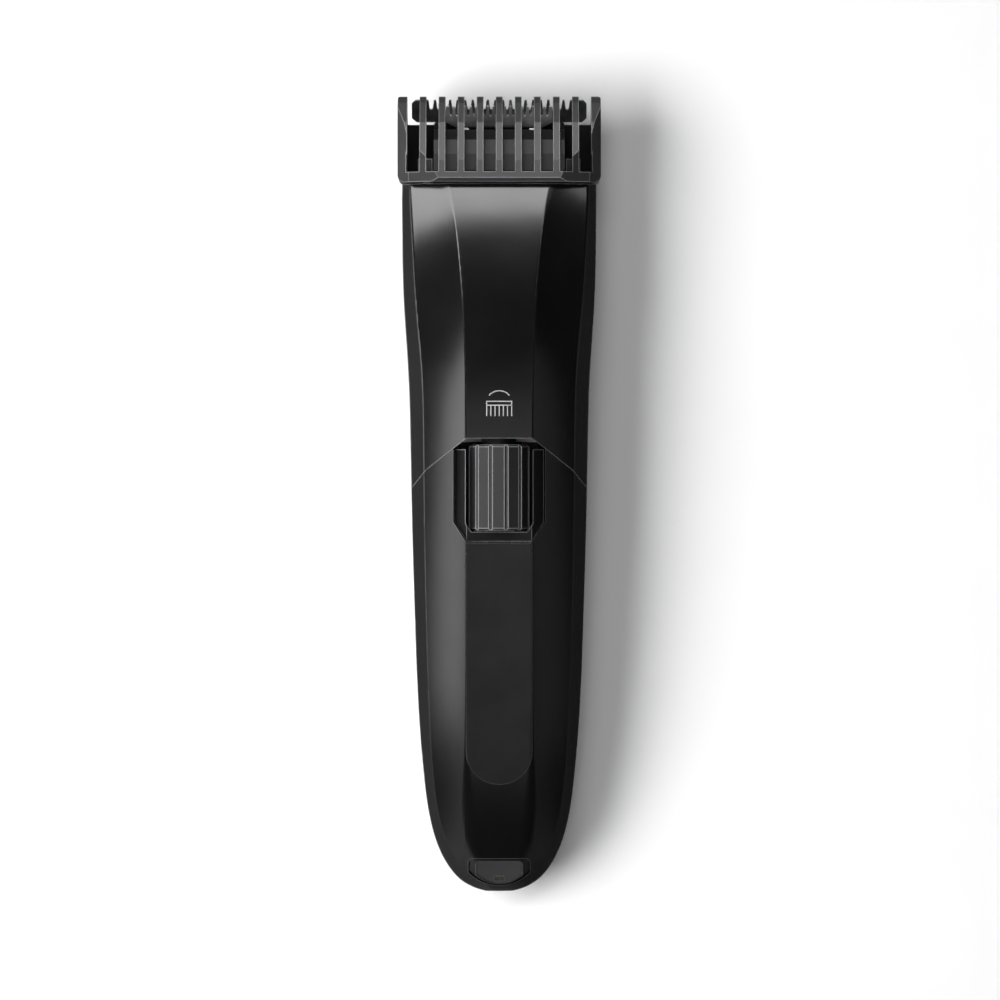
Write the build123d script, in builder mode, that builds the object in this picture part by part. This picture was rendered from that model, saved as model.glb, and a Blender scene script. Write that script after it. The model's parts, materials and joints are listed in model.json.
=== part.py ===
"""Cordless hair clipper with a length wheel, a sliding guide comb and a U-shaped power slide.

Row frame, in millimetres: the clipper lies on its back. +Z points out of its front, +Y towards
the blade and +X to the right of someone who looks at the front. The origin is the centre of the
bounding box in plan, on the plane that the back rests on.
"""

from build123d import *
from collections import namedtuple
from math import cos, radians, sin, tan
import os

os.makedirs("parts", exist_ok=True)


# ---------------------------------------------------------------- driving dimensions
WALL = 1.6  # housing wall
INLAY = 0.7  # depth of the soft front insert
SEAM = 0.12  # gap along a parting line
FIT = 0.15  # clearance between a moving piece and its guide
HEAD_END = 65.1  # where the housing stops, at the comb
TAIL_END = -83.7
COMB_TIP = 83.7

Station = namedtuple("Station", "y half panel_x ridge_x top panel_z side_z rear blend")
# Cross-sections of the housing from head to tail. half is the half width at the parting line,
# panel_x and ridge_x are where the front facets meet, then come the heights of those lines,
# the height of the back, and the rounding of the ridge.
STATIONS = [
    Station(67.0, 20.3, 18.3, 11.2, 22.4, 19.6, 17.2, 3.9, 0.5),
    Station(58.0, 20.4, 18.5, 9.3, 25.3, 21.4, 18.0, 2.4, 0.5),
    Station(49.0, 20.3, 18.0, 8.3, 27.3, 22.5, 18.5, 1.3, 0.5),
    Station(38.0, 19.9, 17.3, 7.5, 28.7, 23.0, 18.6, 0.5, 0.5),
    Station(26.0, 19.1, 16.3, 7.1, 29.4, 22.9, 18.4, 0.25, 0.5),
    Station(12.0, 18.65, 15.9, 6.9, 29.5, 22.7, 18.2, 0.25, 0.5),
    Station(-8.0, 18.25, 15.7, 6.9, 29.1, 22.2, 17.7, 0.25, 0.5),
    Station(-28.0, 17.65, 15.3, 6.9, 27.9, 21.2, 16.9, 0.25, 0.6),
    Station(-46.0, 16.9, 14.7, 6.9, 25.8, 19.6, 15.8, 0.3, 1.0),
    Station(-59.0, 15.85, 13.9, 6.8, 23.3, 17.9, 14.6, 0.6, 3.0),
    Station(-68.0, 14.6, 12.6, 6.4, 20.8, 16.2, 13.2, 1.5, 5.0),
    Station(-74.0, 12.9, 10.6, 5.5, 18.3, 14.6, 12.0, 2.7, 4.5),
    Station(-78.5, 10.6, 8.0, 4.3, 15.4, 12.7, 10.5, 4.2, 3.2),
    Station(-81.4, 8.0, 5.6, 3.0, 12.4, 10.8, 9.3, 5.5, 2.0),
    Station(-83.0, 5.2, 3.5, 1.9, 10.1, 9.2, 8.4, 6.4, 1.0),
    Station(TAIL_END, 2.8, 2.2, 1.0, 8.6, 8.3, 7.8, 6.9, 0.4),
]
HOLLOW_STATIONS = STATIONS[:-4]  # the tail behind these stays solid around the charging socket

# The wheel, its window and the power slide around it
WHEEL_RADIUS = 6.5
WHEEL_Y = (-7.5, 10.4)  # the ribbed sleeve
WHEEL_Z = 23.9
WHEEL_RIBS = 12
RIB_TURN = 13.5  # how far the first groove stands from the top, in degrees
AXLE_RADIUS = 1.0
SPINDLE_RADIUS = 3.0
DRUM_RADIUS = 3.6  # the cam drum in front of the sleeve
DRUM_Y = (10.7, 25.0)
DRUM_GROOVE = (1.25, 1.2)  # half width along the axle, depth
LEAD = 12.0  # comb travel for one turn of the wheel
TRAVEL = 9.5  # comb travel from the shortest to the longest setting
FOLLOWER_Y = 13.0
FOLLOWER_RADIUS = 0.7
WINDOW = [(6.87, 11.68), (9.57, 9.5), (9.57, -5.67), (6.87, -10.04)]
SLIDE_TOP = [(6.8, 28.05), (9.5, 26.05)]  # its arms slope with the facets of the cover
RECESS_TOP = [(6.9, 28.4), (10.0, 26.05)]  # the space it moves into, under the lower cover
TONGUE_Z = (25.5, 26.4)

# The blade. Its plane falls from the tooth tips towards the tail by TILT degrees.
TILT = 33.0
BLADE_TIP = (83.1, 13.6)  # y and z of the tooth tips, on the skin side
BLADE_THICK = 0.5
BLADE_LENGTH = 13.0
TOOTH_PITCH = 1.59
TOOTH_COUNT = 20
CUTTER_LIFT = 0.04  # running clearance of the moving cutter over the fixed blade
CUTTER_HALF = 11.2
CUTTER_PITCH = 1.19
CUTTER_TEETH = 19
BLADE_SCREW_X = 9.0

# The comb
RIB_PITCH = 4.0
RIB_COUNT = 9
RIB_WIDTH = 1.4
COMB_HALF = 21.35
COMB_WALL = 1.85
COMB_FOOT = (65.4, 67.5)
HOLDER_HALF = 13.7  # the snout that carries the blade, inside the comb
ARM_X = (14.3, 16.0)
ARM_Z = (15.4, 18.4)
ARM_END = 69.4

# The drive train
MOTOR_Y = (33.0, 57.6)
MOTOR_Z = 13.5
MOTOR_RADIUS = 10.0
MOTOR_FLAT = 7.7  # half thickness across the flats
SHAFT_RADIUS = 0.75
ECCENTRICITY = 0.8
DRIVE_PIN_RADIUS = 0.7
FORK_HALF = 2.6  # half gap of the fork around the drive pin

# Power
BATTERY_RADIUS = 7.0
BATTERY_Y = (-62.0, -12.0)
BATTERY_Z = 10.8
BOARD_X = 8.8
BOARD_Y = (-56.0, -13.0)
BOARD_Z = (19.0, 20.0)
SCREWS = [(8.6, 30.2), (11.8, -20.0), (8.0, -66.0)]  # x and y, on both sides
POCKET_HALF = 6.5
POCKET_Y = (-82.4, -76.44)
POCKET_FLOOR = 8.0


# ---------------------------------------------------------------- helpers
def save(builder, name):
    """Labels a finished piece and writes it as a STEP file of that name."""
    builder.part.label = name
    export_step(builder.part, f"parts/{name}.step")


def block(x, y, z, mode=Mode.ADD):
    """A box in the open part, given by its ranges along the axes."""
    with Locations((sum(x) / 2, sum(y) / 2, sum(z) / 2)):
        Box(x[1] - x[0], y[1] - y[0], z[1] - z[0], mode=mode)


def rod(radius, y, x=0.0, z=0.0, mode=Mode.ADD):
    """A cylinder along the clipper in the open part."""
    with Locations((x, sum(y) / 2, z)):
        Cylinder(radius, y[1] - y[0], rotation=(90, 0, 0), mode=mode)


def post(radius, z, x, y, mode=Mode.ADD):
    """An upright cylinder in the open part."""
    with Locations((x, y, sum(z) / 2)):
        Cylinder(radius, z[1] - z[0], mode=mode)


def prism(plane, points, height):
    """A closed outline on a plane, drawn out by the height."""
    with BuildPart() as solid:
        with BuildSketch(plane):
            with BuildLine():
                Polyline(*points, close=True)
            make_face()
        extrude(amount=height)
    return solid.part


def mirrored(points):
    """An outline given for positive x, closed by its mirror image."""
    return points + [(-x, y) for x, y in reversed(points)]


def rounded_outline(corners, radii):
    """A closed outline with a tangent arc at each corner, in the open line."""
    points = [Vector(*corner) for corner in corners]
    arcs = []
    for index, corner in enumerate(points):
        back = points[index - 1] - corner
        ahead = points[(index + 1) % len(points)] - corner
        half_angle = radians(back.get_angle(ahead) / 2)
        reach = min(radii[index] / tan(half_angle), 0.45 * min(back.length, ahead.length))
        radius = reach * tan(half_angle)
        inward = (back.normalized() + ahead.normalized()).normalized()
        middle = corner + inward * (radius / sin(half_angle) - radius)
        arcs.append((corner + back.normalized() * reach, middle, corner + ahead.normalized() * reach))
    for index, arc in enumerate(arcs):
        ThreePointArc(*arc)
        Line(arc[2], arcs[(index + 1) % len(arcs)][0])


def section(station, wall):
    """Corners and radii of one cross-section, moved in from the outside by the wall."""
    scale = station.half / 18.0
    low = station.rear + 0.38 * (station.side_z - station.rear)
    corners = [
        (station.ridge_x - 0.25 * wall, station.top - wall),
        (station.panel_x - 0.6 * wall, station.panel_z - 0.75 * wall),
        (station.half - wall, station.side_z - 0.3 * wall),
        (station.half - 0.9 * scale - wall, low + 0.3 * wall),
        (0.55 * station.half - 0.3 * wall, station.rear + wall),
    ]
    radii = [station.blend, 1.2 * scale, 0.9 * scale, 0.75 * (low - station.rear), 2.5 * scale]
    return mirrored(corners), radii + radii[::-1]


def housing_form(wall, stations):
    """The housing's solid form, smaller by the wall: a loft through the cross-sections."""
    with BuildPart() as form:
        for station in stations:
            with BuildSketch(Plane.XZ.offset(-station.y)):
                with BuildLine():
                    rounded_outline(*section(station, wall))
                make_face()
        loft()
    return form.part


# ---------------------------------------------------------------- housing forms and zones
outer_form = housing_form(0.0, STATIONS)
inlay_form = housing_form(INLAY, HOLLOW_STATIONS)
hollow_form = housing_form(WALL, HOLLOW_STATIONS)

with BuildPart() as rear_zone:  # everything behind the parting line along the housing's sides
    with BuildSketch(Plane.YZ):
        with BuildLine():
            parting = Spline(*[(station.y, station.side_z) for station in STATIONS])
            Polyline(parting @ 1, (TAIL_END - 5, 7.8), (TAIL_END - 5, -5), (72, -5), (72, 17.2), parting @ 0)
        make_face()
    extrude(amount=30, both=True)

# The upper cover ends in a line that falls from the window to the sides.
UPPER_EDGE = [(6.87, 11.68), (15.3, 5.1), (18.3, 1.43), (25.0, -7.3)]
upper_zone = prism(Plane.XY.offset(5), mirrored([(25.0, 80.0)] + UPPER_EDGE[::-1]), 30)
window_zone = prism(Plane.XY.offset(20), mirrored(WINDOW), 15)
slide_recess = prism(Plane.XZ.offset(4.0), mirrored(RECESS_TOP + [(10.0, 18.0)]), 8.6)

with BuildPart() as pocket:  # the charging socket's pocket in the sloping tail
    with BuildSketch(Plane.XY.offset(POCKET_FLOOR)):
        with BuildLine():
            sides = Polyline((-POCKET_HALF, -79.5), (-POCKET_HALF, POCKET_Y[1]),
                             (POCKET_HALF, POCKET_Y[1]), (POCKET_HALF, -79.5))
            ThreePointArc(sides @ 1, (0, POCKET_Y[0]), sides @ 0)
        make_face()
        fillet(vertices().group_by(Axis.Y)[-1], 1.1)
    extrude(amount=20)
    block((-3.4, 3.4), (-77.0, -73.0), (8.6, 11.9))

with BuildPart() as shell:
    add(outer_form)
    add(hollow_form, mode=Mode.SUBTRACT)
    add(pocket.part, mode=Mode.SUBTRACT)
    block((-30, 30), (HEAD_END, 80), (-5, 40), mode=Mode.SUBTRACT)



def grip_inlay(gap):
    """The front insert: a band under the surface below the window, with a round end."""
    with BuildPart() as plan:
        block((gap - 6.85, 6.85 - gap), (-53.75, -10.2 - gap), (10, 35))
        post(6.85 - gap, (10, 35), 0, -53.75)
    with BuildPart() as inlay:
        add(outer_form)
        add(inlay_form, mode=Mode.SUBTRACT)
        add(plan.part, mode=Mode.INTERSECT)
    return inlay.part


# ---------------------------------------------------------------- housing
def screw_places():
    return [(side * x, y) for x, y in SCREWS for side in (-1, 1)]


with BuildPart() as columns:
    for x, y in screw_places():
        post(2.4, (1.0, 8.9), x, y)
    add(outer_form, mode=Mode.INTERSECT)

with BuildPart() as rear_cover:
    add(shell.part)
    add(rear_zone.part, mode=Mode.INTERSECT)
    add(columns.part)
    for x, y in screw_places():
        post(2.0, (-2.0, 5.0), x, y, mode=Mode.SUBTRACT)
        post(1.1, (4.0, 10.0), x, y, mode=Mode.SUBTRACT)
    block((-8.0, 8.0), (-50.0, 24.0), (-1.0, 1.1), mode=Mode.SUBTRACT)
save(rear_cover, "rear_cover")

with BuildPart() as rear_grip_pad:
    with BuildSketch():
        with Locations((0, -13)):
            RectangleRounded(15.8, 73.8, 3.0)
    extrude(amount=1.1)
    for groove_y in range(-46, 24, 6):
        block((-5.5, 5.5), (groove_y, groove_y + 1.1), (-1.0, 0.35), mode=Mode.SUBTRACT)
save(rear_grip_pad, "rear_grip_pad")

with BuildPart() as front_shell:
    add(shell.part)
    add(rear_zone.part.moved(Location((0, 0, SEAM))), mode=Mode.SUBTRACT)
    add(window_zone, mode=Mode.SUBTRACT)


def pillars(places):
    """Screw pillars under the front covers, with a pilot hole each."""
    with BuildPart() as group:
        for x, y in places:
            post(1.9, (9.1, 30.0), x, y)
            post(0.95, (9.0, 16.0), x, y, mode=Mode.SUBTRACT)
        add(inlay_form, mode=Mode.INTERSECT)
    return group.part


with BuildPart() as front_cover_upper:
    add(front_shell.part)
    add(upper_zone, mode=Mode.INTERSECT)
    add(pillars(screw_places()[:2]))
save(front_cover_upper, "front_cover_upper")

with BuildPart() as front_cover_lower:
    add(front_shell.part)
    add(upper_zone.moved(Location((0, -SEAM, 0))), mode=Mode.SUBTRACT)
    add(pillars(screw_places()[2:]))
    add(grip_inlay(0.0), mode=Mode.SUBTRACT)
    add(slide_recess, mode=Mode.SUBTRACT)
save(front_cover_lower, "front_cover_lower")

with BuildPart() as front_grip_insert:
    add(grip_inlay(0.1))
    add(slide_recess, mode=Mode.SUBTRACT)
save(front_grip_insert, "front_grip_insert")

with BuildPart() as housing_screws:
    for x, y in screw_places():
        post(1.85, (3.5, 5.0), x, y)
        post(0.95, (5.0, 14.5), x, y)
        block((x - 1.3, x + 1.3), (y - 0.22, y + 0.22), (3.4, 4.1), mode=Mode.SUBTRACT)
        block((x - 0.22, x + 0.22), (y - 1.3, y + 1.3), (3.4, 4.1), mode=Mode.SUBTRACT)
save(housing_screws, "housing_screws")


# ---------------------------------------------------------------- head and blade
BLADE_PLANE = Plane((0, *BLADE_TIP), x_dir=(1, 0, 0), z_dir=(0, -sin(radians(TILT)), cos(radians(TILT))))


def blade_point(back, lift):
    """y and z of a point behind the tooth tips along the blade and above its skin side."""
    point = BLADE_PLANE.from_local_coords((0, -back, lift))
    return point.Y, point.Z


HEAD_SIDE = [
    (65.1, 20.4), (68.0, 20.4), (71.5, 19.6), (74.5, 17.9), (76.6, 15.4),
    blade_point(5.4, 3.2), blade_point(5.4, BLADE_THICK), blade_point(BLADE_LENGTH, BLADE_THICK),
    (67.5, 4.8), (65.1, 4.8),
]
HEAD_HOLLOW = [
    (65.1, 18.8), (68.0, 18.8), (70.8, 18.1), (73.5, 16.6), (76.0, 13.5),
    blade_point(4.0, 2.6), blade_point(4.0, -1.0), blade_point(10.3, -1.0), blade_point(10.3, 1.6),
    (65.1, 7.4),
]

with BuildPart() as head_frame:
    with BuildSketch(Plane.XZ.offset(-HEAD_END)):
        with BuildLine():
            rounded_outline(*section(STATIONS[0], WALL + 0.25))
        make_face()
    extrude(amount=1.5)
    add(prism(Plane.YZ.offset(-HOLDER_HALF), HEAD_SIDE, 2 * HOLDER_HALF))
    add(prism(Plane.YZ.offset(-11.7), HEAD_HOLLOW, 23.4), mode=Mode.SUBTRACT)
    rod(3.2, (60, 66), 0, MOTOR_Z, mode=Mode.SUBTRACT)
    for side in (-1, 1):
        arm = sorted((side * (ARM_X[0] - 0.3), side * (ARM_X[1] + 0.3)))
        block(arm, (60, 66), (ARM_Z[0] - 0.3, ARM_Z[1] + 0.3), mode=Mode.SUBTRACT)
    with BuildSketch(BLADE_PLANE.offset(BLADE_THICK)):
        with Locations((-BLADE_SCREW_X, -11.6), (BLADE_SCREW_X, -11.6)):
            Circle(0.5)
    extrude(amount=1.0, mode=Mode.SUBTRACT)
save(head_frame, "head_frame")

with BuildPart() as head_seal:
    rod(4.6, (63.0, 63.6), 0, MOTOR_Z)
    rod(3.0, (62.0, 64.0), 0, MOTOR_Z, mode=Mode.SUBTRACT)
save(head_seal, "head_seal")


def tooth_gaps(pitch, gaps, tip, top_half, foot_half, depth):
    """The gaps between blade teeth, each with a round foot, in the open sketch."""
    with BuildSketch(mode=Mode.PRIVATE) as gap:
        with BuildLine():
            walls = Polyline((-foot_half, tip - depth + foot_half), (-top_half, tip + 0.2),
                             (top_half, tip + 0.2), (foot_half, tip - depth + foot_half))
            ThreePointArc(walls @ 1, (0, tip - depth), walls @ 0)
        make_face()
    with Locations([((i - (gaps - 1) / 2) * pitch, 0) for i in range(gaps)]):
        add(gap.sketch, mode=Mode.SUBTRACT)


with BuildPart() as fixed_blade:
    with BuildSketch(BLADE_PLANE):
        with BuildLine():
            Polyline(*mirrored([(17.6, 0), (18.4, -0.8), (18.4, -4.2), (17.4, -5.2), (13.5, -5.2),
                                (13.5, -BLADE_LENGTH)]), close=True)
        make_face()
        tooth_gaps(TOOTH_PITCH, TOOTH_COUNT + 1, 0, 0.6, 0.34, 2.25)
        with Locations((-BLADE_SCREW_X, -11.6), (BLADE_SCREW_X, -11.6)):
            Circle(0.9, mode=Mode.SUBTRACT)
    extrude(amount=BLADE_THICK)
save(fixed_blade, "fixed_blade")

with BuildPart() as blade_screws:
    for radius, height in ((0.9, BLADE_THICK), (0.5, BLADE_THICK + 1.0)):
        with BuildSketch(BLADE_PLANE):
            with Locations((-BLADE_SCREW_X, -11.6), (BLADE_SCREW_X, -11.6)):
                Circle(radius)
        extrude(amount=height)
save(blade_screws, "blade_screws")

with BuildPart() as moving_cutter:
    with BuildSketch(BLADE_PLANE.offset(BLADE_THICK + CUTTER_LIFT)):
        with BuildLine():
            Polyline(*mirrored([(CUTTER_HALF, -1.1), (CUTTER_HALF, -4.9), (9.0, -6.2), (9.0, -9.0)]),
                     close=True)
        make_face()
        tooth_gaps(CUTTER_PITCH, CUTTER_TEETH - 1, -1.1, 0.42, 0.24, 2.3)
    extrude(amount=0.5)
save(moving_cutter, "moving_cutter")

BRIDGE_FOOT = BLADE_THICK + CUTTER_LIFT + 0.5
with BuildPart() as cutter_drive_bridge:
    with BuildSketch(BLADE_PLANE.offset(BRIDGE_FOOT)):
        with Locations((0, -7.2)):
            Rectangle(17.6, 3.2)
    extrude(amount=0.7)
    fork = [blade_point(8.8, BRIDGE_FOOT), blade_point(6.6, BRIDGE_FOOT), (73.4, 13.5), (73.2, 15.9),
            (70.4, 15.9), (70.4, 11.0)]
    for x in (-FORK_HALF - 1.3, FORK_HALF):
        add(prism(Plane.YZ.offset(x), fork, 1.3))
save(cutter_drive_bridge, "cutter_drive_bridge")

with BuildPart() as cutter_spring:
    finger = [(74.2, 14.7), (74.6, 14.7), (77.2, 12.05), (77.0, 11.85), (74.2, 14.45)]
    for x in (-8.4, 6.4):
        add(prism(Plane.YZ.offset(x), finger, 2.0))
    block((-11.7, 11.7), (73.9, 74.5), (14.45, 14.7))
save(cutter_spring, "cutter_spring")


# ---------------------------------------------------------------- comb
COMB_OUTSIDE = [
    (65.4, 24.8), (66.2, 25.5), (70.0, 24.6), (78.0, 20.4), (82.2, 17.0), (83.45, 15.4),
    (83.7, 14.5), (83.6, 13.5), (82.8, 12.3), (68.5, 1.4), (67.0, 0.9), (65.4, 1.5),
]
COMB_INSIDE = [
    (67.5, 22.9), (70.2, 22.2), (77.0, 18.4), (81.4, 15.7), (83.1, 14.6), (83.3, 14.2),
    blade_point(-0.15, -0.25), blade_point(BLADE_LENGTH + 0.6, -0.25), (67.5, 3.6),
]
COMB_FRONT = [(11.8, 26.0), (19.0, 22.4), (COMB_HALF, 17.6), (21.2, 3.5), (18.5, 0.7)]
COMB_WEB = 78.0  # the web behind the outer ribs reaches up to here
COMB_HOLLOW = COMB_HALF - COMB_WALL

with BuildPart() as comb_plan:
    with BuildSketch():
        with Locations((0, (COMB_TIP + COMB_FOOT[0]) / 2)):
            Rectangle(2 * COMB_HALF, COMB_TIP - COMB_FOOT[0])
        fillet(vertices().group_by(Axis.Y)[0], 1.7)
        fillet(vertices().group_by(Axis.Y)[-1], 0.6)
    extrude(amount=30)

with BuildPart() as trimming_comb:
    add(prism(Plane.YZ.offset(-COMB_HALF), COMB_OUTSIDE, 2 * COMB_HALF))
    add(prism(Plane.XZ.offset(-90), mirrored(COMB_FRONT), 30), mode=Mode.INTERSECT)
    add(comb_plan.part, mode=Mode.INTERSECT)
    add(prism(Plane.YZ.offset(-COMB_HOLLOW), COMB_INSIDE, 2 * COMB_HOLLOW), mode=Mode.SUBTRACT)
    block((-HOLDER_HALF - 0.35, HOLDER_HALF + 0.35), (60, 68), (4.4, 20.8), mode=Mode.SUBTRACT)
    for gap in range(-1, RIB_COUNT):
        left = max((gap - (RIB_COUNT - 1) / 2) * RIB_PITCH + RIB_WIDTH / 2, -COMB_HOLLOW)
        right = min((gap + 1 - (RIB_COUNT - 1) / 2) * RIB_PITCH - RIB_WIDTH / 2, COMB_HOLLOW)
        block((left, right), (COMB_FOOT[1], 90), (14, 30), mode=Mode.SUBTRACT)
        web = 71.5 if 1 <= gap <= RIB_COUNT - 3 else COMB_WEB
        block((left, right), (web, 90), (-2, 14), mode=Mode.SUBTRACT)
    block((-18.75, 18.75), (60, 70), (10.4, 14.35), mode=Mode.SUBTRACT)  # lets the blade's ears through
    for side in (-1, 1):
        block(sorted((side * 14.05, side * 17.0)), (67.0, 70.4), (ARM_Z[0] - 0.9, ARM_Z[1] + 0.9))
        block(sorted((side * 13.9, side * 16.3)), (60, 69.8), (ARM_Z[0] - 0.3, ARM_Z[1] + 0.3),
              mode=Mode.SUBTRACT)
save(trimming_comb, "trimming_comb")


# ---------------------------------------------------------------- wheel, carriage and power slide
def wheel_vertex(index):
    angle = radians(RIB_TURN + index * 360 / WHEEL_RIBS)
    return WHEEL_RADIUS * sin(angle), WHEEL_Z + WHEEL_RADIUS * cos(angle)


with BuildPart() as zoom_wheel:  # a soft sleeve whose flats meet in shallow grooves
    add(prism(Plane.XZ.offset(-WHEEL_Y[1]), [wheel_vertex(i) for i in range(WHEEL_RIBS)],
              WHEEL_Y[1] - WHEEL_Y[0]))
    chamfer(edges().group_by(Axis.Y)[0] + edges().group_by(Axis.Y)[-1], 0.45)
    for i in range(WHEEL_RIBS):
        x, z = wheel_vertex(i)
        rod(0.42, (WHEEL_Y[0] - 1, WHEEL_Y[1] + 1), x, z, mode=Mode.SUBTRACT)
    rod(SPINDLE_RADIUS, (-20, 20), 0, WHEEL_Z, mode=Mode.SUBTRACT)
save(zoom_wheel, "zoom_wheel")

GROOVE_SPARE = 1.0  # the groove runs on past the follower at both ends
with BuildPart() as groove:
    with BuildLine():
        path = Helix(LEAD, TRAVEL + 2 * GROOVE_SPARE, DRUM_RADIUS - DRUM_GROOVE[1] / 2)
    with BuildSketch(Plane.XZ):
        with Locations((DRUM_RADIUS, 0)):
            Rectangle(2 * DRUM_GROOVE[1], 2 * DRUM_GROOVE[0])
    sweep(path=path, is_frenet=True)
groove_start = Location((0, FOLLOWER_Y - GROOVE_SPARE, WHEEL_Z)) * Location((0, 0, 0), (-90, 0, 0))
groove_turn = Location((0, 0, 0), (0, 0, 90 - 360 * GROOVE_SPARE / LEAD))

with BuildPart() as wheel_cam_drum:
    rod(DRUM_RADIUS, DRUM_Y, 0, WHEEL_Z)
    add(groove.part.moved(groove_start * groove_turn), mode=Mode.SUBTRACT)
    rod(SPINDLE_RADIUS, (WHEEL_Y[0], DRUM_Y[0]), 0, WHEEL_Z)
    rod(AXLE_RADIUS + 0.05, (-20, 30), 0, WHEEL_Z, mode=Mode.SUBTRACT)
save(wheel_cam_drum, "wheel_cam_drum")

with BuildPart() as wheel_axle:
    rod(AXLE_RADIUS, (-10.0, 27.4), 0, WHEEL_Z)
save(wheel_axle, "wheel_axle")

with BuildPart() as wheel_detent_spring:
    block((-3.0, 3.0), (-8.0, 6.0), (16.4, 16.7))
    with Locations((0, 5.0, 16.7)):
        Cylinder(0.35, 6.0, rotation=(0, 90, 0))
save(wheel_detent_spring, "wheel_detent_spring")

with BuildPart() as comb_carriage:
    block((-15.9, 15.9), (11.0, 15.0), (16.4, 19.1))
    for side in (-1, 1):
        block(sorted((side * ARM_X[0], side * ARM_X[1])), (11.0, ARM_END), ARM_Z)
    chamfer(edges().filter_by(Axis.X).group_by(Axis.Y)[-1], 0.4)
    post(FOLLOWER_RADIUS, (16.0, 20.0), 0, FOLLOWER_Y, mode=Mode.SUBTRACT)
save(comb_carriage, "comb_carriage")

with BuildPart() as follower_pin:
    post(FOLLOWER_RADIUS, (16.4, WHEEL_Z - DRUM_RADIUS + 0.95), 0, FOLLOWER_Y)
save(follower_pin, "follower_pin")

SLIDE_OUTSIDE = [(9.3, 9.4), (9.3, -5.8), (6.76, -9.8)]
SLIDE_INSIDE = [(7.0, 9.4), (7.0, -6.1), (5.8, -7.8)]
with BuildPart() as power_slide:  # a U around the wheel with a tongue under the lower cover
    add(prism(Plane.XZ.offset(-9.4), mirrored(SLIDE_TOP + [(9.5, 24.6), (6.8, 26.9)]), 19.2))
    add(prism(Plane.XY.offset(20), mirrored(SLIDE_OUTSIDE), 10), mode=Mode.INTERSECT)
    add(prism(Plane.XY.offset(20), mirrored(SLIDE_INSIDE), 10), mode=Mode.SUBTRACT)
    block((-2.6, 2.6), (-9.6, -8.3), (TONGUE_Z[0], 27.0))
    block((-2.6, 2.6), (-20.0, -8.3), TONGUE_Z)
    block((-0.8, 0.8), (-18.6, -16.4), (20, 30), mode=Mode.SUBTRACT)
save(power_slide, "power_slide")

with BuildPart() as switch_knob:
    block((-0.75, 0.75), (-18.5, -16.5), (21.4, TONGUE_Z[1]))
save(switch_knob, "switch_knob")

with BuildPart() as slide_switch_body:
    block((-4.0, 4.0), (-24.0, -14.0), (BOARD_Z[1], 23.2))
    block((-1.1, 1.1), (-21.0, -16.0), (20.9, 24), mode=Mode.SUBTRACT)
save(slide_switch_body, "slide_switch_body")


# ---------------------------------------------------------------- chassis
with BuildPart() as chassis:
    block((-8.2, 8.2), (-63.5, 50.0), (2.0, 3.2))
    block((-8.2, 8.2), (46.0, 61.0), (2.0, 5.2))
    for y in (-57.0, -36.0, -16.0):  # battery cradles and board posts
        block((-8.2, 8.2), (y - 1.0, y + 1.0), (3.2, BATTERY_Z))
        block((-8.2, -7.2), (y - 1.0, y + 1.0), (BATTERY_Z, BOARD_Z[0]))
        block((7.2, 8.2), (y - 1.0, y + 1.0), (BATTERY_Z, BOARD_Z[0]))
    rod(BATTERY_RADIUS, BATTERY_Y, 0, BATTERY_Z, mode=Mode.SUBTRACT)
    for y in (36.0, 52.0):  # motor saddles
        block((-8.2, 8.2), (y - 1.0, y + 1.0), (3.2, MOTOR_Z - MOTOR_FLAT))
    block((-3.5, 3.5), (-10.0, -8.0), (3.2, 25.2))
    block((-4.5, 4.5), (25.4, 27.4), (3.2, 26.4))
    rod(AXLE_RADIUS, (-20, 30), 0, WHEEL_Z, mode=Mode.SUBTRACT)
    block((-16.9, 16.9), (58.4, 60.2), (9.0, 19.8))  # bulkhead ahead of the motor
    block((-9.0, 9.0), (58.4, 60.2), (3.2, 21.5))
    rod(3.2, (58, 61), 0, MOTOR_Z, mode=Mode.SUBTRACT)
    for side in (-1, 1):
        arm = sorted((side * (ARM_X[0] - FIT), side * (ARM_X[1] + FIT)))
        block(arm, (58, 61), (ARM_Z[0] - FIT, ARM_Z[1] + FIT), mode=Mode.SUBTRACT)
        rod(0.6, (58, 61), side * 5.5, MOTOR_Z, mode=Mode.SUBTRACT)
    for x, y in screw_places():
        post(2.7, (1, 22), x, y, mode=Mode.SUBTRACT)
    add(hollow_form, mode=Mode.INTERSECT)
save(chassis, "chassis")


# ---------------------------------------------------------------- motor and drive
def motor_section(radius, flat):
    """A circle cut by two flats, around the motor's axis, in the open sketch."""
    with Locations((0, MOTOR_Z)):
        Circle(radius)
        Rectangle(2 * radius, 2 * flat, mode=Mode.INTERSECT)


with BuildPart() as motor_can:
    with BuildSketch(Plane.XZ.offset(-MOTOR_Y[1])):
        motor_section(MOTOR_RADIUS, MOTOR_FLAT)
    extrude(amount=MOTOR_Y[1] - MOTOR_Y[0] - 2)
    with BuildSketch(Plane.XZ.offset(-MOTOR_Y[1] + 0.8)):
        motor_section(MOTOR_RADIUS - 0.8, MOTOR_FLAT - 0.8)
    extrude(amount=30, mode=Mode.SUBTRACT)
    rod(3.0, (MOTOR_Y[1], 59.4), 0, MOTOR_Z)
    rod(1.9, (56, 60), 0, MOTOR_Z, mode=Mode.SUBTRACT)
    for side in (-1, 1):
        rod(0.6, (56, 58), side * 5.5, MOTOR_Z, mode=Mode.SUBTRACT)
save(motor_can, "motor_can")

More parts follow.
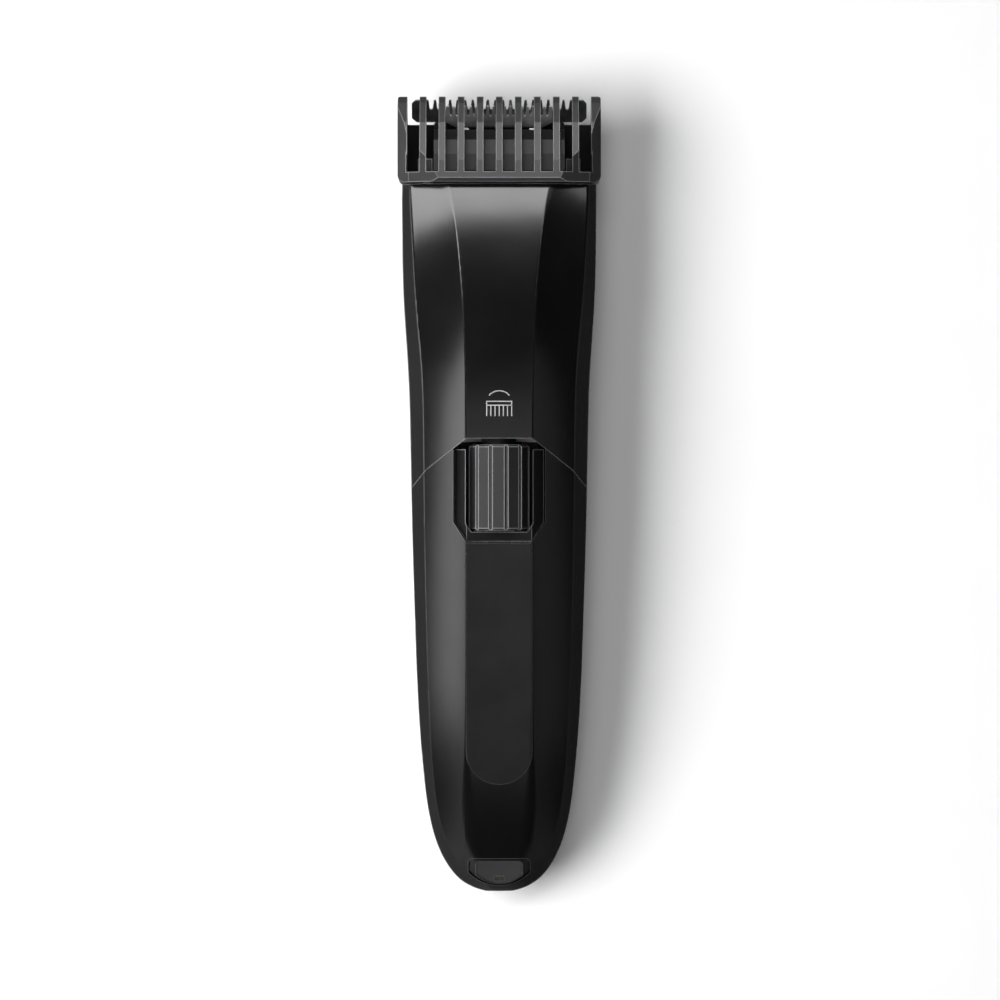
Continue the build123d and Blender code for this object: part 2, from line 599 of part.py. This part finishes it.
with BuildPart() as motor_end_cap:
    with BuildSketch(Plane.XZ.offset(-MOTOR_Y[0] - 2)):
        motor_section(MOTOR_RADIUS, MOTOR_FLAT)
    extrude(amount=2)
    rod(3.0, (32.0, 33.0), 0, MOTOR_Z)
    rod(1.9, (30, 36), 0, MOTOR_Z, mode=Mode.SUBTRACT)
    for side in (-1, 1):
        block(sorted((side * 5.4, side * 6.0)), (30, 36), (11.5, 15.5), mode=Mode.SUBTRACT)
save(motor_end_cap, "motor_end_cap")

with BuildPart() as motor_bushes:
    for y in ((32.0, 34.4), (57.0, 59.4)):
        rod(1.9, y, 0, MOTOR_Z)
    rod(SHAFT_RADIUS + 0.04, (30, 60), 0, MOTOR_Z, mode=Mode.SUBTRACT)
save(motor_bushes, "motor_bushes")

with BuildPart() as motor_magnets:
    with BuildSketch(Plane.XZ.offset(-55.5)):
        motor_section(MOTOR_RADIUS - 0.8, MOTOR_FLAT - 0.8)
        with Locations((0, MOTOR_Z)):
            Circle(6.6, mode=Mode.SUBTRACT)
            Rectangle(6.0, 20, mode=Mode.SUBTRACT)
    extrude(amount=14)
save(motor_magnets, "motor_magnets")

with BuildPart() as motor_terminals:
    for side in (-1, 1):
        block(sorted((side * 5.4, side * 6.0)), (30.6, 35.6), (11.5, 15.5))
        block(sorted((side * 2.1, side * 6.0)), (35.6, 36.0), (12.5, 14.5))
save(motor_terminals, "motor_terminals")

with BuildPart() as motor_mount_screws:
    for side in (-1, 1):
        rod(1.1, (60.2, 61.0), side * 5.5, MOTOR_Z)
        rod(0.6, (56.8, 60.2), side * 5.5, MOTOR_Z)
save(motor_mount_screws, "motor_mount_screws")

with BuildPart() as motor_shaft:
    rod(SHAFT_RADIUS, (31.6, 66.2), 0, MOTOR_Z)
save(motor_shaft, "motor_shaft")

with BuildPart() as rotor_core:
    with BuildSketch(Plane.XZ.offset(-54.5)):
        with Locations((0, MOTOR_Z)):
            Circle(6.0)
            with PolarLocations(4.4, 3, start_angle=30):
                RectangleRounded(3.6, 1.2, 0.4, mode=Mode.SUBTRACT)
            Circle(SHAFT_RADIUS, mode=Mode.SUBTRACT)
    extrude(amount=12)
save(rotor_core, "rotor_core")

with BuildPart() as rotor_coils:
    for y in ((40.9, 42.5), (54.5, 55.9)):
        rod(5.2, y, 0, MOTOR_Z)
    rod(SHAFT_RADIUS, (30, 60), 0, MOTOR_Z, mode=Mode.SUBTRACT)
    fillet(edges().filter_by(GeomType.CIRCLE).group_by(SortBy.RADIUS)[-1], 0.5)
save(rotor_coils, "rotor_coils")

with BuildPart() as commutator:
    rod(1.9, (35.2, 40.9), 0, MOTOR_Z)
    rod(SHAFT_RADIUS, (30, 60), 0, MOTOR_Z, mode=Mode.SUBTRACT)
save(commutator, "commutator")

with BuildPart() as eccentric_cam:
    rod(2.6, (62.2, 67.4), 0, MOTOR_Z)
    rod(SHAFT_RADIUS, (60, 66.2), 0, MOTOR_Z, mode=Mode.SUBTRACT)
    rod(DRIVE_PIN_RADIUS, (67.4, 73.2), ECCENTRICITY, MOTOR_Z)
save(eccentric_cam, "eccentric_cam")


# ---------------------------------------------------------------- power
with BuildPart() as battery_cell:
    rod(BATTERY_RADIUS, BATTERY_Y, 0, BATTERY_Z)
    fillet(edges().filter_by(GeomType.CIRCLE), 0.6)
save(battery_cell, "battery_cell")

with BuildPart() as battery_tabs:
    for y in ((BATTERY_Y[1], BATTERY_Y[1] + 0.2), (BATTERY_Y[0] - 0.2, BATTERY_Y[0])):
        block((-1.5, 1.5), y, (8.0, 20.2))
    for y in ((-13.8, BATTERY_Y[1]), (BATTERY_Y[0], -54.0)):
        block((-1.5, 1.5), y, (BOARD_Z[1], 20.2))
save(battery_tabs, "battery_tabs")

with BuildPart() as circuit_board:
    with BuildSketch(Plane.XY.offset(BOARD_Z[0])):
        with Locations((0, sum(BOARD_Y) / 2)):
            RectangleRounded(2 * BOARD_X, BOARD_Y[1] - BOARD_Y[0], 1.0)
    extrude(amount=BOARD_Z[1] - BOARD_Z[0])
save(circuit_board, "circuit_board")

with BuildPart() as board_components:
    block((-3.0, 3.0), (-34.0, -29.0), (BOARD_Z[1], 21.2))
    block((4.5, 7.0), (-40.0, -37.0), (BOARD_Z[1], 21.4))
    for x, y in ((-5.5, -40.0), (-5.5, -44.0), (0.0, -40.0), (5.5, -31.0), (-6.0, -31.0)):
        block((x - 0.8, x + 0.8), (y - 0.5, y + 0.5), (BOARD_Z[1], 20.6))
    post(2.0, (BOARD_Z[1], 22.4), 2.5, -46.0)
save(board_components, "board_components")


def lead(points):
    """A round insulated wire through the points."""
    with BuildPart() as wire:
        with BuildLine():
            route = FilletPolyline(*points, radius=1.2)
        with BuildSketch(Plane(route @ 0, z_dir=route % 0)):
            Circle(0.5)
        sweep(path=route)
    return wire.part


with BuildPart() as motor_leads:
    for x in (-5.3, 5.3):
        add(lead([(x, -15.0, 20.55), (x, -10.8, 20.55), (x, -10.8, 12.0), (x, 30.5, 12.0)]))
save(motor_leads, "motor_leads")

with BuildPart() as socket_leads:
    for x in (-2.4, 2.4):
        add(lead([(x, -54.5, 20.55), (x, -58.6, 20.55), (x, -58.6, 18.0), (x, -64.4, 18.0),
                  (x, -64.4, 10.3), (x, -72.0, 10.3)]))
save(socket_leads, "socket_leads")

with BuildPart() as socket_pins:
    for side in (-1, 1):
        block(sorted((side * 0.3, side * 0.7)), (-81.3, -71.0), (8.8, 9.3))
save(socket_pins, "socket_pins")

with BuildPart() as socket_housing:
    add(pocket.part)
    add(outer_form.moved(Location((0, 0, -0.5))), mode=Mode.INTERSECT)
    block((-3.4, 3.4), (-74.0, -72.0), (8.6, 11.9))
    with BuildSketch(Plane.XY.offset(10.2)):
        with BuildLine():
            mouth = Polyline((-4.9, -80.1), (-4.9, -77.05), (4.9, -77.05), (4.9, -80.1))
            ThreePointArc(mouth @ 1, (0, -82.0), mouth @ 0)
        make_face()
        fillet(vertices().group_by(Axis.Y)[-1], 0.8)
    extrude(amount=20, mode=Mode.SUBTRACT)
    block((-1.0, 1.0), (-81.4, -80.5), (8.8, 12), mode=Mode.SUBTRACT)
    add(socket_pins.part, mode=Mode.SUBTRACT)
save(socket_housing, "socket_housing")
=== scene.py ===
"""Looks for the cordless hair clipper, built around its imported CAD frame. Lengths are in metres."""

import json
import math

import bmesh
import bpy
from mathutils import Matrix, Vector


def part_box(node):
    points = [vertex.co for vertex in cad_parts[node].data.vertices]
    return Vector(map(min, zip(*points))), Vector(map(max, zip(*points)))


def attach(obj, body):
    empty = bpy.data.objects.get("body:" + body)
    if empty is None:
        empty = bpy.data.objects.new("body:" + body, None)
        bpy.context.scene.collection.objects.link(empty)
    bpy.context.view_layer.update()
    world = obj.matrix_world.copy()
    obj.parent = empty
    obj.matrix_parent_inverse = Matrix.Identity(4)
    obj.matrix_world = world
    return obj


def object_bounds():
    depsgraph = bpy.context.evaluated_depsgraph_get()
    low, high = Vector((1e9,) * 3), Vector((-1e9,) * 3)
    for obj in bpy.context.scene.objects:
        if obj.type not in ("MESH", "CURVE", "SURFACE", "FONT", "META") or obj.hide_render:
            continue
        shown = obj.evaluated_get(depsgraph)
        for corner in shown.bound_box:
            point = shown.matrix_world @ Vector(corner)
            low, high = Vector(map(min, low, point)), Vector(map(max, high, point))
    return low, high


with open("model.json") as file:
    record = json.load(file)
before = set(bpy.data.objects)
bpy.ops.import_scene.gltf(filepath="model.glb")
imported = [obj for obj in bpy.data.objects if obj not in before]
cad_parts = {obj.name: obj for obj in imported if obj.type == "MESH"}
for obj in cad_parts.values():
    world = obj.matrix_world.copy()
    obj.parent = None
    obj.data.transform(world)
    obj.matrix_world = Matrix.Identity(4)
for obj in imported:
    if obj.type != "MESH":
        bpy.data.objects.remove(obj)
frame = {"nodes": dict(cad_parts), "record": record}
cad_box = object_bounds()
nodes = frame["nodes"]

MM = 0.001
UM = 0.000001

# The upper cover's two ridges run at RIDGE_X from the middle and part ahead of FLARE_Y.
RIDGE_X = 7.2 * MM
FLARE_Y = 40 * MM
FLARE = 7.25  # how fast they part, in metres for each square metre
FACET_MIDDLE = 12.5 * MM  # the middle of a side facet, from the middle of the clipper


def new_object(name, data):
    """An object that holds data, linked into the scene."""
    made = bpy.data.objects.new(name, data)
    bpy.context.scene.collection.objects.link(made)
    return made


# ---------------------------------------------------------------- materials
class Nodes:
    """A node tree with short calls to add and join its nodes."""

    def __init__(self, tree):
        self.tree = tree
        self.coordinates = self.add("ShaderNodeTexCoord").outputs

    def add(self, kind, **values):
        node = self.tree.nodes.new(kind)
        for key, value in values.items():
            if hasattr(node, key):
                setattr(node, key, value)
            else:
                node.inputs[key.replace("_", " ")].default_value = value
        return node

    def feed(self, target, value):
        """Links value to the input if it is a socket, and sets the input to it if not."""
        if isinstance(value, bpy.types.NodeSocket):
            self.tree.links.new(value, target)
        else:
            target.default_value = value

    def spread(self, value, low, high, start=0.35, end=0.65):
        """value, mapped from start..end to low..high and held there beyond."""
        ramp = self.add("ShaderNodeMapRange")
        ends = {"From Min": start, "From Max": end, "To Min": low, "To Max": high}
        for key, number in ends.items():
            self.feed(ramp.inputs[key], number)
        self.feed(ramp.inputs["Value"], value)
        return ramp.outputs["Result"]

    def math(self, operation, first, second=0.0):
        node = self.add("ShaderNodeMath", operation=operation)
        self.feed(node.inputs[0], first)
        self.feed(node.inputs[1], second)
        return node.outputs[0]

    def axes(self, vector):
        """The X, Y and Z outputs of a vector."""
        split = self.add("ShaderNodeSeparateXYZ")
        self.feed(split.inputs[0], vector)
        return split.outputs


class Material(Nodes):
    """A material's node tree, with the patterns that the surfaces share."""

    def __init__(self, name):
        self.material = bpy.data.materials.new(name)
        self.material.use_nodes = True
        super().__init__(self.material.node_tree)
        self.place = self.coordinates["Object"]

    def surface(self, **inputs):
        """The material, once its shader's inputs are set or linked."""
        shader = self.tree.nodes["Principled BSDF"]
        for key, value in inputs.items():
            self.feed(shader.inputs[key.replace("_", " ")], value)
        return self.material

    def noise(self, size, detail=3.0, stretch=(1, 1, 1)):
        """Noise whose lumps are about size across, stretched along the axes."""
        mapping = self.add("ShaderNodeMapping")
        mapping.inputs["Scale"].default_value = [1 / s for s in stretch]
        self.feed(mapping.inputs["Vector"], self.place)
        noise = self.add("ShaderNodeTexNoise", Scale=1 / size, Detail=detail, Roughness=0.55)
        self.feed(noise.inputs["Vector"], mapping.outputs["Vector"])
        return noise.outputs["Fac"]

    def blend(self, factor, first, second):
        """first where factor is 0, second where it is 1; both are colours or colour outputs."""
        mix = self.add("ShaderNodeMix", data_type="RGBA")
        self.feed(mix.inputs["Factor"], factor)
        for socket, colour in ((mix.inputs[6], first), (mix.inputs[7], second)):
            self.feed(socket, (*colour, 1) if isinstance(colour, tuple) else colour)
        return mix.outputs[2]

    def cloudy(self, cloud, dark, pale):
        """A colour that drifts between two with the noise cloud."""
        return self.blend(self.spread(cloud, 0.0, 1.0), dark, pale)

    def edges(self, radius, strength):
        """strength on edges, where the rounded normal leaves the surface's own, and 0 on flats."""
        bevel = self.add("ShaderNodeBevel", samples=6, Radius=radius)
        geometry = self.add("ShaderNodeNewGeometry")
        dot = self.add("ShaderNodeVectorMath", operation="DOT_PRODUCT")
        self.feed(dot.inputs[0], bevel.outputs["Normal"])
        self.feed(dot.inputs[1], geometry.outputs["Normal"])
        return self.spread(dot.outputs["Value"], strength, 0.0, start=0.95, end=0.998)

    def bump(self, height, depth, previous=None):
        bump = self.add("ShaderNodeBump", Distance=depth)
        self.feed(bump.inputs["Height"], height)
        if previous is not None:
            self.feed(bump.inputs["Normal"], previous)
        return bump.outputs["Normal"]

    def scoop(self, bend):
        """Normal of side facets hollowed outside the ridges; bend is in radians per metre of x."""
        at = self.axes(self.place)
        ahead = self.math("MAXIMUM", self.math("SUBTRACT", at["Y"], FLARE_Y), 0.0)
        flare = self.math("MULTIPLY", self.math("MULTIPLY", ahead, ahead), FLARE)
        ridge = self.math("ADD", flare, RIDGE_X)
        outside = self.math("MAXIMUM", self.math("ABSOLUTE", at["X"]), ridge)
        across = self.math("SUBTRACT", outside, FACET_MIDDLE)
        return self.bump(self.math("MULTIPLY", across, across), bend / 2)


def grey(level):
    """A grey with a touch of blue."""
    return (level, level, level * 1.04)


def plastic(name, level, roughness, grain=6 * UM, edge_wear_and_highlight=0.5, specular=0.5, bend=0.0, edge=0.1):
    """Moulded plastic with a grain of that depth, cloudy roughness and edges of the grey edge: a
    painted highlight on the edges as well as wear.
    """
    n = Material(name)
    cloud = n.noise(11 * MM, 4.0)
    fine = n.noise(0.12 * MM, 2.0)
    # Edges are paled towards the grey edge: a painted edge highlight as well as wear.
    edge_mask = n.edges(0.28 * MM, edge_wear_and_highlight)
    base = n.cloudy(cloud, grey(level), grey(level * 1.2))
    rough = n.spread(cloud, roughness - 0.012, roughness + 0.012)
    hollow = n.scoop(bend) if bend else None
    return n.surface(
        Base_Color=n.blend(edge_mask, base, grey(edge)),
        Roughness=n.math("ADD", rough, n.spread(fine, -0.02, 0.02)),
        Normal=n.bump(fine, grain, hollow),
        Specular_IOR_Level=specular,
    )


def rubber(name, level, roughness):
    """Soft rubber: a pebbled skin, cloudy in tone and roughness, with slightly paler edges."""
    n = Material(name)
    cells = n.add("ShaderNodeTexVoronoi", Scale=1 / (0.42 * MM))
    n.feed(cells.inputs["Vector"], n.place)
    cloud = n.noise(9 * MM, 4.0)
    edge_mask = n.edges(0.2 * MM, 0.2)
    base = n.cloudy(cloud, grey(level), grey(level * 1.3))
    return n.surface(
        Base_Color=n.blend(edge_mask, base, grey(level * 2.0 + 0.02)),
        Roughness=n.spread(cloud, roughness - 0.06, roughness + 0.06),
        Normal=n.bump(cells.outputs["Distance"], 12 * UM),
        Specular_IOR_Level=0.11,
    )


def metal(name, level, roughness, along=(40, 1, 1), tint=(1.0, 1.0, 1.0)):
    """Ground or rolled metal: fine lines along one axis, cloudy tone and brighter edges."""
    n = Material(name)
    lines = n.noise(0.12 * MM, 2.0, along)
    cloud = n.noise(4 * MM, 4.0)
    edge_mask = n.edges(0.12 * MM, 0.6)
    levels = (level * 0.72, min(1.0, level * 1.15), min(1.0, level * 1.5 + 0.1))
    dark, pale, edge = (tuple(number * t for t in tint) for number in levels)
    return n.surface(
        Base_Color=n.blend(edge_mask, n.cloudy(cloud, dark, pale), edge),
        Roughness=n.spread(lines, roughness - 0.07, roughness + 0.09),
        Normal=n.bump(lines, 4 * UM),
        Metallic=1.0,
    )


def board(name):
    """A circuit board: green mask over paler copper tracks."""
    n = Material(name)
    tracks = n.add("ShaderNodeTexBrick", Scale=420.0, Mortar_Size=0.05)
    n.feed(tracks.inputs["Vector"], n.place)
    return n.surface(
        Base_Color=n.blend(tracks.outputs["Fac"], (0.02, 0.14, 0.06), (0.05, 0.26, 0.11)),
        Roughness=n.spread(n.noise(3 * MM), 0.25, 0.4),
        Normal=n.bump(tracks.outputs["Fac"], 20 * UM),
    )


def coloured(name, colour, roughness):
    """Coloured moulded or wrapped plastic with a fine grain, cloudy in tone and roughness."""
    n = Material(name)
    cloud = n.noise(6 * MM)
    return n.surface(
        Base_Color=n.cloudy(cloud, colour, tuple(c * 0.8 for c in colour)),
        Roughness=n.spread(cloud, roughness - 0.05, roughness + 0.08),
        Normal=n.bump(n.noise(0.2 * MM, 2.0), 6 * UM),
    )


# Each table says name: (tone, roughness, what differs from the defaults above).
# A plastic's edge grey paints highlights on its edges as well as wear.
PLASTICS = {
    "gloss_black": (0.003, 0.19, dict(
        grain=0.7 * UM, edge_wear_and_highlight=0.9, specular=0.4, bend=17, edge=0.15)),
    "matte_black": (0.003, 0.24, dict(
        grain=1.6 * UM, edge_wear_and_highlight=0.9, specular=0.32, bend=26, edge=0.045)),
    "slide_black": (0.004, 0.5, dict(grain=2 * UM, edge_wear_and_highlight=1.0, specular=0.1, edge=0.2)),
    "wheel_black": (0.014, 0.4, dict(grain=3 * UM, edge_wear_and_highlight=1.0, edge=0.35)),
    "comb_plastic": (0.026, 0.36, dict(grain=2 * UM, edge_wear_and_highlight=1.0, specular=0.22, edge=0.24)),
    "holder_plastic": (0.004, 0.42, dict(grain=3 * UM, specular=0.2)),
    "socket_black": (0.004, 0.25, dict(grain=1 * UM, edge_wear_and_highlight=1.0, specular=0.3, edge=0.06)),
    "component_black": (0.008, 0.5, dict(edge_wear_and_highlight=0.3, specular=0.2)),
    "inner_plastic": (0.05, 0.5, dict(edge_wear_and_highlight=0.2)),
}
RUBBERS = {"grip_rubber": (0.009, 0.62, {}), "seal_rubber": (0.015, 0.7, {})}
METALS = {
    "blade_steel": (0.2, 0.38, {}),
    "cutter_steel": (0.8, 0.42, {}),
    "screw_steel": (0.45, 0.35, {}),
    "spring_steel": (0.5, 0.3, {}),
    "motor_steel": (0.42, 0.4, dict(along=(1, 40, 1))),
    "magnet": (0.12, 0.6, dict(along=(1, 1, 1))),
    "brass": (0.7, 0.3, dict(tint=(1.0, 0.78, 0.42))),
    "pin_bronze": (0.1, 0.45, dict(tint=(1.0, 0.8, 0.55))),
    "copper": (0.7, 0.35, dict(tint=(1.0, 0.5, 0.28))),
}
COLOURED = {
    "white_acetal": ((0.72, 0.72, 0.69), 0.35, {}),
    "battery_wrap": ((0.04, 0.16, 0.4), 0.25, {}),
    "wire_red": ((0.35, 0.03, 0.02), 0.45, {}),
}

MATERIALS = {"board_green": board("board_green")}
for make, table in ((plastic, PLASTICS), (rubber, RUBBERS), (metal, METALS), (coloured, COLOURED)):
    for name, (tone, roughness, more) in table.items():
        MATERIALS[name] = make(name, tone, roughness, **more)

for piece in frame["record"]["subparts"]:
    data = nodes[piece["node"]].data
    data.materials.clear()
    data.materials.append(MATERIALS[piece["material_slot"]])

# ---------------------------------------------------------------- edges that catch the light
SOFT_EDGES = {  # width of the rounding, in millimetres
    "trimming_comb": 0.22, "power_slide": 0.16, "zoom_wheel": 0.10, "head_frame": 0.35,
    "fixed_blade": 0.05, "moving_cutter": 0.05, "front_cover_upper": 0.10,
    "front_cover_lower": 0.10, "rear_cover": 0.12, "front_grip_insert": 0.12,
    "rear_grip_pad": 0.25, "socket_housing": 0.15, "comb_carriage": 0.2, "housing_screws": 0.12,
}
LEAST_TURN = 20  # degrees: an edge that turns by less stays as it is
for name, width in SOFT_EDGES.items():
    bevel = nodes[name].modifiers.new("soft_edges", "BEVEL")
    bevel.width = width * MM
    bevel.segments = 3
    bevel.limit_method = "ANGLE"
    bevel.angle_limit = math.radians(LEAST_TURN)
    bevel.use_clamp_overlap = True
    bevel.harden_normals = False
    bevel.miter_outer = "MITER_ARC"

# ---------------------------------------------------------------- pictogram on the upper cover
PRINT_HALF = 0.03 * MM  # half the depth of a printed line, which sits half in the cover
PRINT_WIDTH = 0.22 * MM


def surface_height(x, y):
    """z of the front cover's outside above a point."""
    cover = nodes["front_cover_upper"]
    hit, place, _, _ = cover.ray_cast(Vector((x, y, 0.1)), Vector((0, 0, -1)))
    return place.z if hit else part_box("front_cover_upper")[1].z


def ribbon(name, lines, width, material, body):
    """Thin printed lines laid on the upper cover; each is a list of (x, y) points."""
    mesh = bmesh.new()
    for line in lines:
        for start, end in zip(line, line[1:]):
            start, end = Vector(start), Vector(end)
            along = (end - start).normalized()
            side = Vector((-along.y, along.x)) * width / 2
            cap = along * width * 0.3
            corners = (start - cap + side, start - cap - side, end + cap - side, end + cap + side)
            heights = [surface_height(x, y) for x, y in corners]
            low, high = (
                [mesh.verts.new((x, y, z + lift)) for (x, y), z in zip(corners, heights)]
                for lift in (-PRINT_HALF, PRINT_HALF)
            )
            mesh.faces.new(high)
            mesh.faces.new(low[::-1])
            for i in range(4):
                after = (i + 1) % 4
                mesh.faces.new((low[i], low[after], high[after], high[i]))
    bmesh.ops.recalc_face_normals(mesh, faces=mesh.faces)
    data = bpy.data.meshes.new(name)
    mesh.to_mesh(data)
    mesh.free()
    piece = new_object(name, data)
    data.materials.append(material)
    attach(piece, body)
    return piece


window_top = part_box("power_slide")[1].y
ICON_TOP = window_top + 10.0 * MM  # the upper edge of the comb's back
ICON_HALF = 2.6 * MM
ICON_BACK = 0.8 * MM  # height of its back
ICON_HEIGHT = 3.0 * MM  # down to the tips of its teeth
ICON_TEETH = 7
ARC_HALF = 2.4 * MM
ARC_HEIGHT = 1.9 * MM
ARC_LIFT = 0.3 * MM


def comb_icon():
    """A small comb: a back with teeth under it and an arc over it."""
    foot = ICON_TOP - ICON_BACK
    lines = [[(-ICON_HALF, y), (ICON_HALF, y)] for y in (ICON_TOP, foot)]
    for i in range(ICON_TEETH):
        x = -ICON_HALF + i * 2 * ICON_HALF / (ICON_TEETH - 1)
        lines.append([(x, foot), (x, ICON_TOP - ICON_HEIGHT)])
    lines += [[(x, ICON_TOP), (x, foot)] for x in (-ICON_HALF, ICON_HALF)]
    arc = [math.radians(a) for a in range(30, 151, 12)]
    centre = ICON_TOP + ARC_LIFT
    lines.append([(ARC_HALF * math.cos(a), centre + ARC_HEIGHT * math.sin(a)) for a in arc])
    return lines


print_grey = coloured("print_grey", (0.42, 0.42, 0.43), 0.5)
ribbon("length_pictogram", comb_icon(), PRINT_WIDTH, print_grey, "housing")

# ---------------------------------------------------------------- floor, light and camera
FLOOR_HALF = 3.0
FLOOR_GAP = 0.02 * MM  # under the clipper


def floor():
    """White paper that shines light back but is hidden from reflections."""
    corners = [(x * FLOOR_HALF, y * FLOOR_HALF, 0) for x, y in ((-1, -1), (1, -1), (1, 1), (-1, 1))]
    data = bpy.data.meshes.new("floor")
    data.from_pydata(corners, [], [(0, 1, 2, 3)])
    ground = new_object("floor", data)
    ground.location.z = cad_box[0][2] - FLOOR_GAP
    n = Material("floor_paper")
    paper = n.cloudy(n.noise(50 * MM), (0.93, 0.93, 0.93), (0.95, 0.95, 0.95))
    data.materials.append(n.surface(Base_Color=paper, Roughness=0.9, Specular_IOR_Level=0.1))
    ground.visible_glossy = False


def softbox(name, place, target, size, power, shines=True, reflects=True):
    """A soft rectangular light; one that doesn't shine only shows in reflections, like a card."""
    data = bpy.data.lights.new(name, "AREA")
    data.shape = "RECTANGLE"
    data.size, data.size_y = size
    data.energy = power
    light = new_object(name, data)
    light.location = place
    light.rotation_euler = (Vector(target) - Vector(place)).to_track_quat("-Z", "Y").to_euler()
    light.visible_diffuse = shines
    light.visible_glossy = reflects


def studio_world():
    """Nearly dark overhead, so that the top stays black, and paler from just above the horizon
    down, for the sides and back: brightest beside the horizon, and lighter on the left."""
    overhead, left, right, beside_horizon = 0.03, 0.34, 0.10, 2.4
    world = bpy.data.worlds.new("studio")
    world.use_nodes = True
    n = Nodes(world.node_tree)
    direction = n.axes(n.coordinates["Generated"])
    side = n.spread(direction["X"], left, right, start=-0.3, end=0.3)
    horizon = n.spread(direction["Z"], 1.0, beside_horizon, start=-0.38, end=-0.22)
    below = n.math("MULTIPLY", side, horizon)
    glow = n.spread(direction["Z"], below, overhead, start=0.02, end=0.17)
    background = n.tree.nodes["Background"]
    n.feed(background.inputs["Strength"], glow)
    n.feed(background.inputs["Color"], (1, 1, 1, 1))
    bpy.context.scene.world = world


floor()
# name, place, what it faces, size, power in watts
softbox("key", (-0.50, -0.05, 0.50), (0, 0.02, 0), (0.75, 0.42), 8.4, reflects=False)
softbox("fill", (0.0, 0.45, 0.95), (0, 0.02, 0.02), (0.50, 0.30), 2.2, reflects=False)
softbox("head_card_left", (-0.34, 0.64, 0.57), (0, 0.05, 0.02), (0.90, 0.62), 20.0, shines=False)
softbox("head_card_right", (0.36, 0.66, 0.56), (0, 0.05, 0.02), (0.50, 0.56), 3.4, shines=False)
softbox("left_card", (-0.60, 0.05, 0.10), (0, 0.03, 0.02), (0.44, 0.15), 1.0, shines=False)
softbox("right_card", (0.60, -0.06, 0.12), (0, -0.03, 0.02), (0.30, 0.14), 0.04, shines=False)
softbox("overhead", (0, -0.42, 1.8), (0, 0, 0), (0.6, 0.78), 4.0)
studio_world()
bpy.context.scene.view_settings.view_transform = "Standard"

VIEW_WIDTH = 0.210  # width of the view at the parting line
PARTING_Z = 17 * MM
CAMERA_HEIGHT = 1.5  # above the parting line
SENSOR = 36.0  # millimetres
CAMERA_SHIFT = Vector((0.17 * MM, -1.15 * MM))  # away from over the clipper's middle

middle = (Vector(cad_box[0]) + Vector(cad_box[1])) / 2
camera_data = bpy.data.cameras.new("camera")
camera_data.sensor_width = SENSOR
camera_data.lens = SENSOR * CAMERA_HEIGHT / VIEW_WIDTH
camera_data.clip_end = 10.0
camera = new_object("camera", camera_data)
camera.location = (*(middle.xy + CAMERA_SHIFT), CAMERA_HEIGHT + PARTING_Z)
bpy.context.scene.camera = camera
